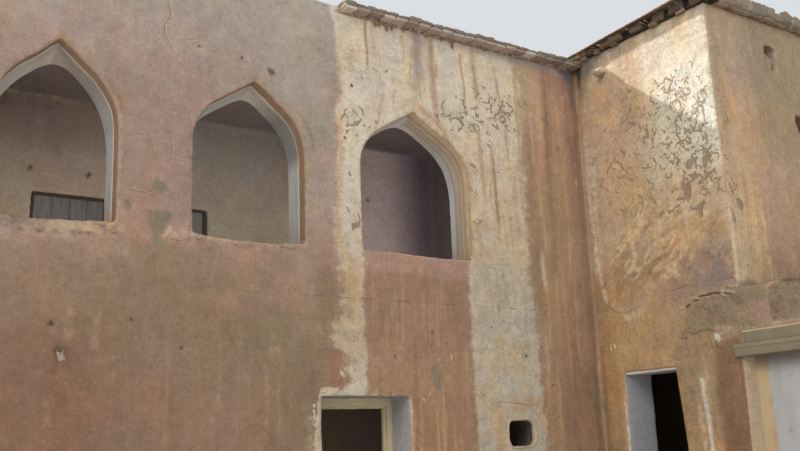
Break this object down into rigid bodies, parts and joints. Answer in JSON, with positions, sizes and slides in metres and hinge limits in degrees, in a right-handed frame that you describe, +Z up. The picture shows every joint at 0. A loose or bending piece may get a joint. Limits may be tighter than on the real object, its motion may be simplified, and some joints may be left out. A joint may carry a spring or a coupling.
{
  "type": "adobe house",
  "caption": "Two-storey mud-brick house round a courtyard's inner corner, with pointed-arch windows, open doorways, brick eaves and a low block with a flat terrace.",
  "frame": {"origin": "centre of the footprint's bounding box, on the ground", "axes": "+X along the main front towards the wing, +Y into the house from the court, +Z up"},
  "size_m": [10.4, 7.22, 5.95],
  "materials": {
    "mud_plaster_brown": "matt",
    "cream_plaster": "matt",
    "whitewash": "matt",
    "packed_earth": "matt",
    "roof_mud": "matt",
    "old_brick": "matt",
    "concrete": "matt",
    "cream_paint": "matt",
    "dark_wood": "matt",
    "grey_board": "matt",
    "lime_stub": "matt"
  },
  "bodies": {
    "root": {"ground_floor": "packed_earth", "front_wall_left": "mud_plaster_brown", "front_wall_over_door": "mud_plaster_brown", "front_wall_right": "cream_plaster", "left_end_wall_lower": "mud_plaster_brown", "back_wall_lower": "mud_plaster_brown", "right_end_wall_lower": "mud_plaster_brown", "side_wall_rear_lower": "cream_plaster", "side_wall_over_door": "cream_plaster", "side_wall_middle_lower": "mud_plaster_brown", "low_block_side_wall": "mud_plaster_brown", "low_block_front_wall": "mud_plaster_brown", "wing_cross_wall": "mud_plaster_brown", "main_door_frame": "cream_paint", "side_door_lintel": "dark_wood", "concrete_lintel": "concrete", "blocked_doorway_panel": "whitewash", "vent_surround": "whitewash", "upper_floor_main": "packed_earth", "upper_floor_wing": "packed_earth", "terrace_floor": "roof_mud", "window_sill_wall": "mud_plaster_brown", "window_piers": "cream_plaster", "left_window_arch": "mud_plaster_brown", "middle_window_arch": "mud_plaster_brown", "right_window_arch": "cream_plaster", "window_linings": "whitewash", "left_end_wall_upper": "mud_plaster_brown", "back_wall_upper": "mud_plaster_brown", "right_end_wall_upper": "mud_plaster_brown", "side_wall_upper": "cream_plaster", "wing_front_wall": "mud_plaster_brown", "wing_front_over_door": "mud_plaster_brown", "back_window_frames": "dark_wood", "back_window_panels": "grey_board", "upper_ceilings": "packed_earth", "main_roof": "roof_mud", "wing_roof": "roof_mud", "brick_cornice": "old_brick", "main_wall_coping": "roof_mud", "wing_side_eave": "old_brick", "wing_front_cornice": "old_brick", "back_cornice": "old_brick", "wall_peg": "lime_stub", "wall_stub": "dark_wood"}
  },
  "joints": []
}
